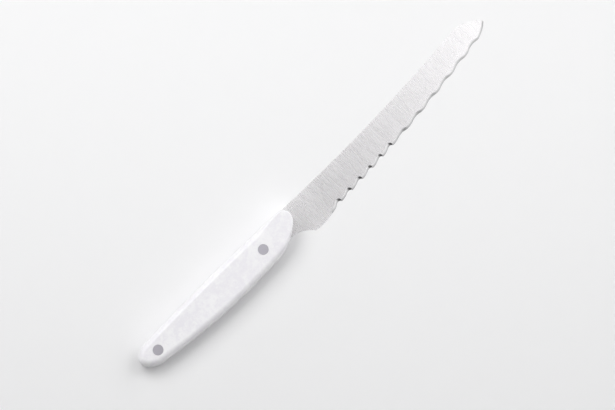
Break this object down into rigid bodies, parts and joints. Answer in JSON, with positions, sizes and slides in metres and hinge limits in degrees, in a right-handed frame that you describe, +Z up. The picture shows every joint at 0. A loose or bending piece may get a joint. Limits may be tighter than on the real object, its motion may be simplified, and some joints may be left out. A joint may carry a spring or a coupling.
{
  "type": "bread knife",
  "caption": "Full-tang bread knife with a scalloped and waved edge ground on one face, two white scales and flush rivets.",
  "frame": {"origin": "under the middle of the handle, on the flat outer face of the lower scale", "axes": "+X along the knife from butt to tip, +Y from the cutting edge to the spine, +Z up across the thickness of the handle as the knife lies on its side"},
  "size_m": [0.32, 0.03, 0.015],
  "materials": {
    "blade_steel": "satin, brushed across the blade",
    "white_scale": "polished, faintly pearly",
    "rivet_steel": "satin"
  },
  "bodies": {
    "root": {"blade": "blade_steel", "upper_scale": "white_scale", "lower_scale": "white_scale", "rear_rivet_sleeve_half": "rivet_steel", "rear_rivet_pin_half": "rivet_steel", "front_rivet_sleeve_half": "rivet_steel", "front_rivet_pin_half": "rivet_steel"}
  },
  "joints": []
}
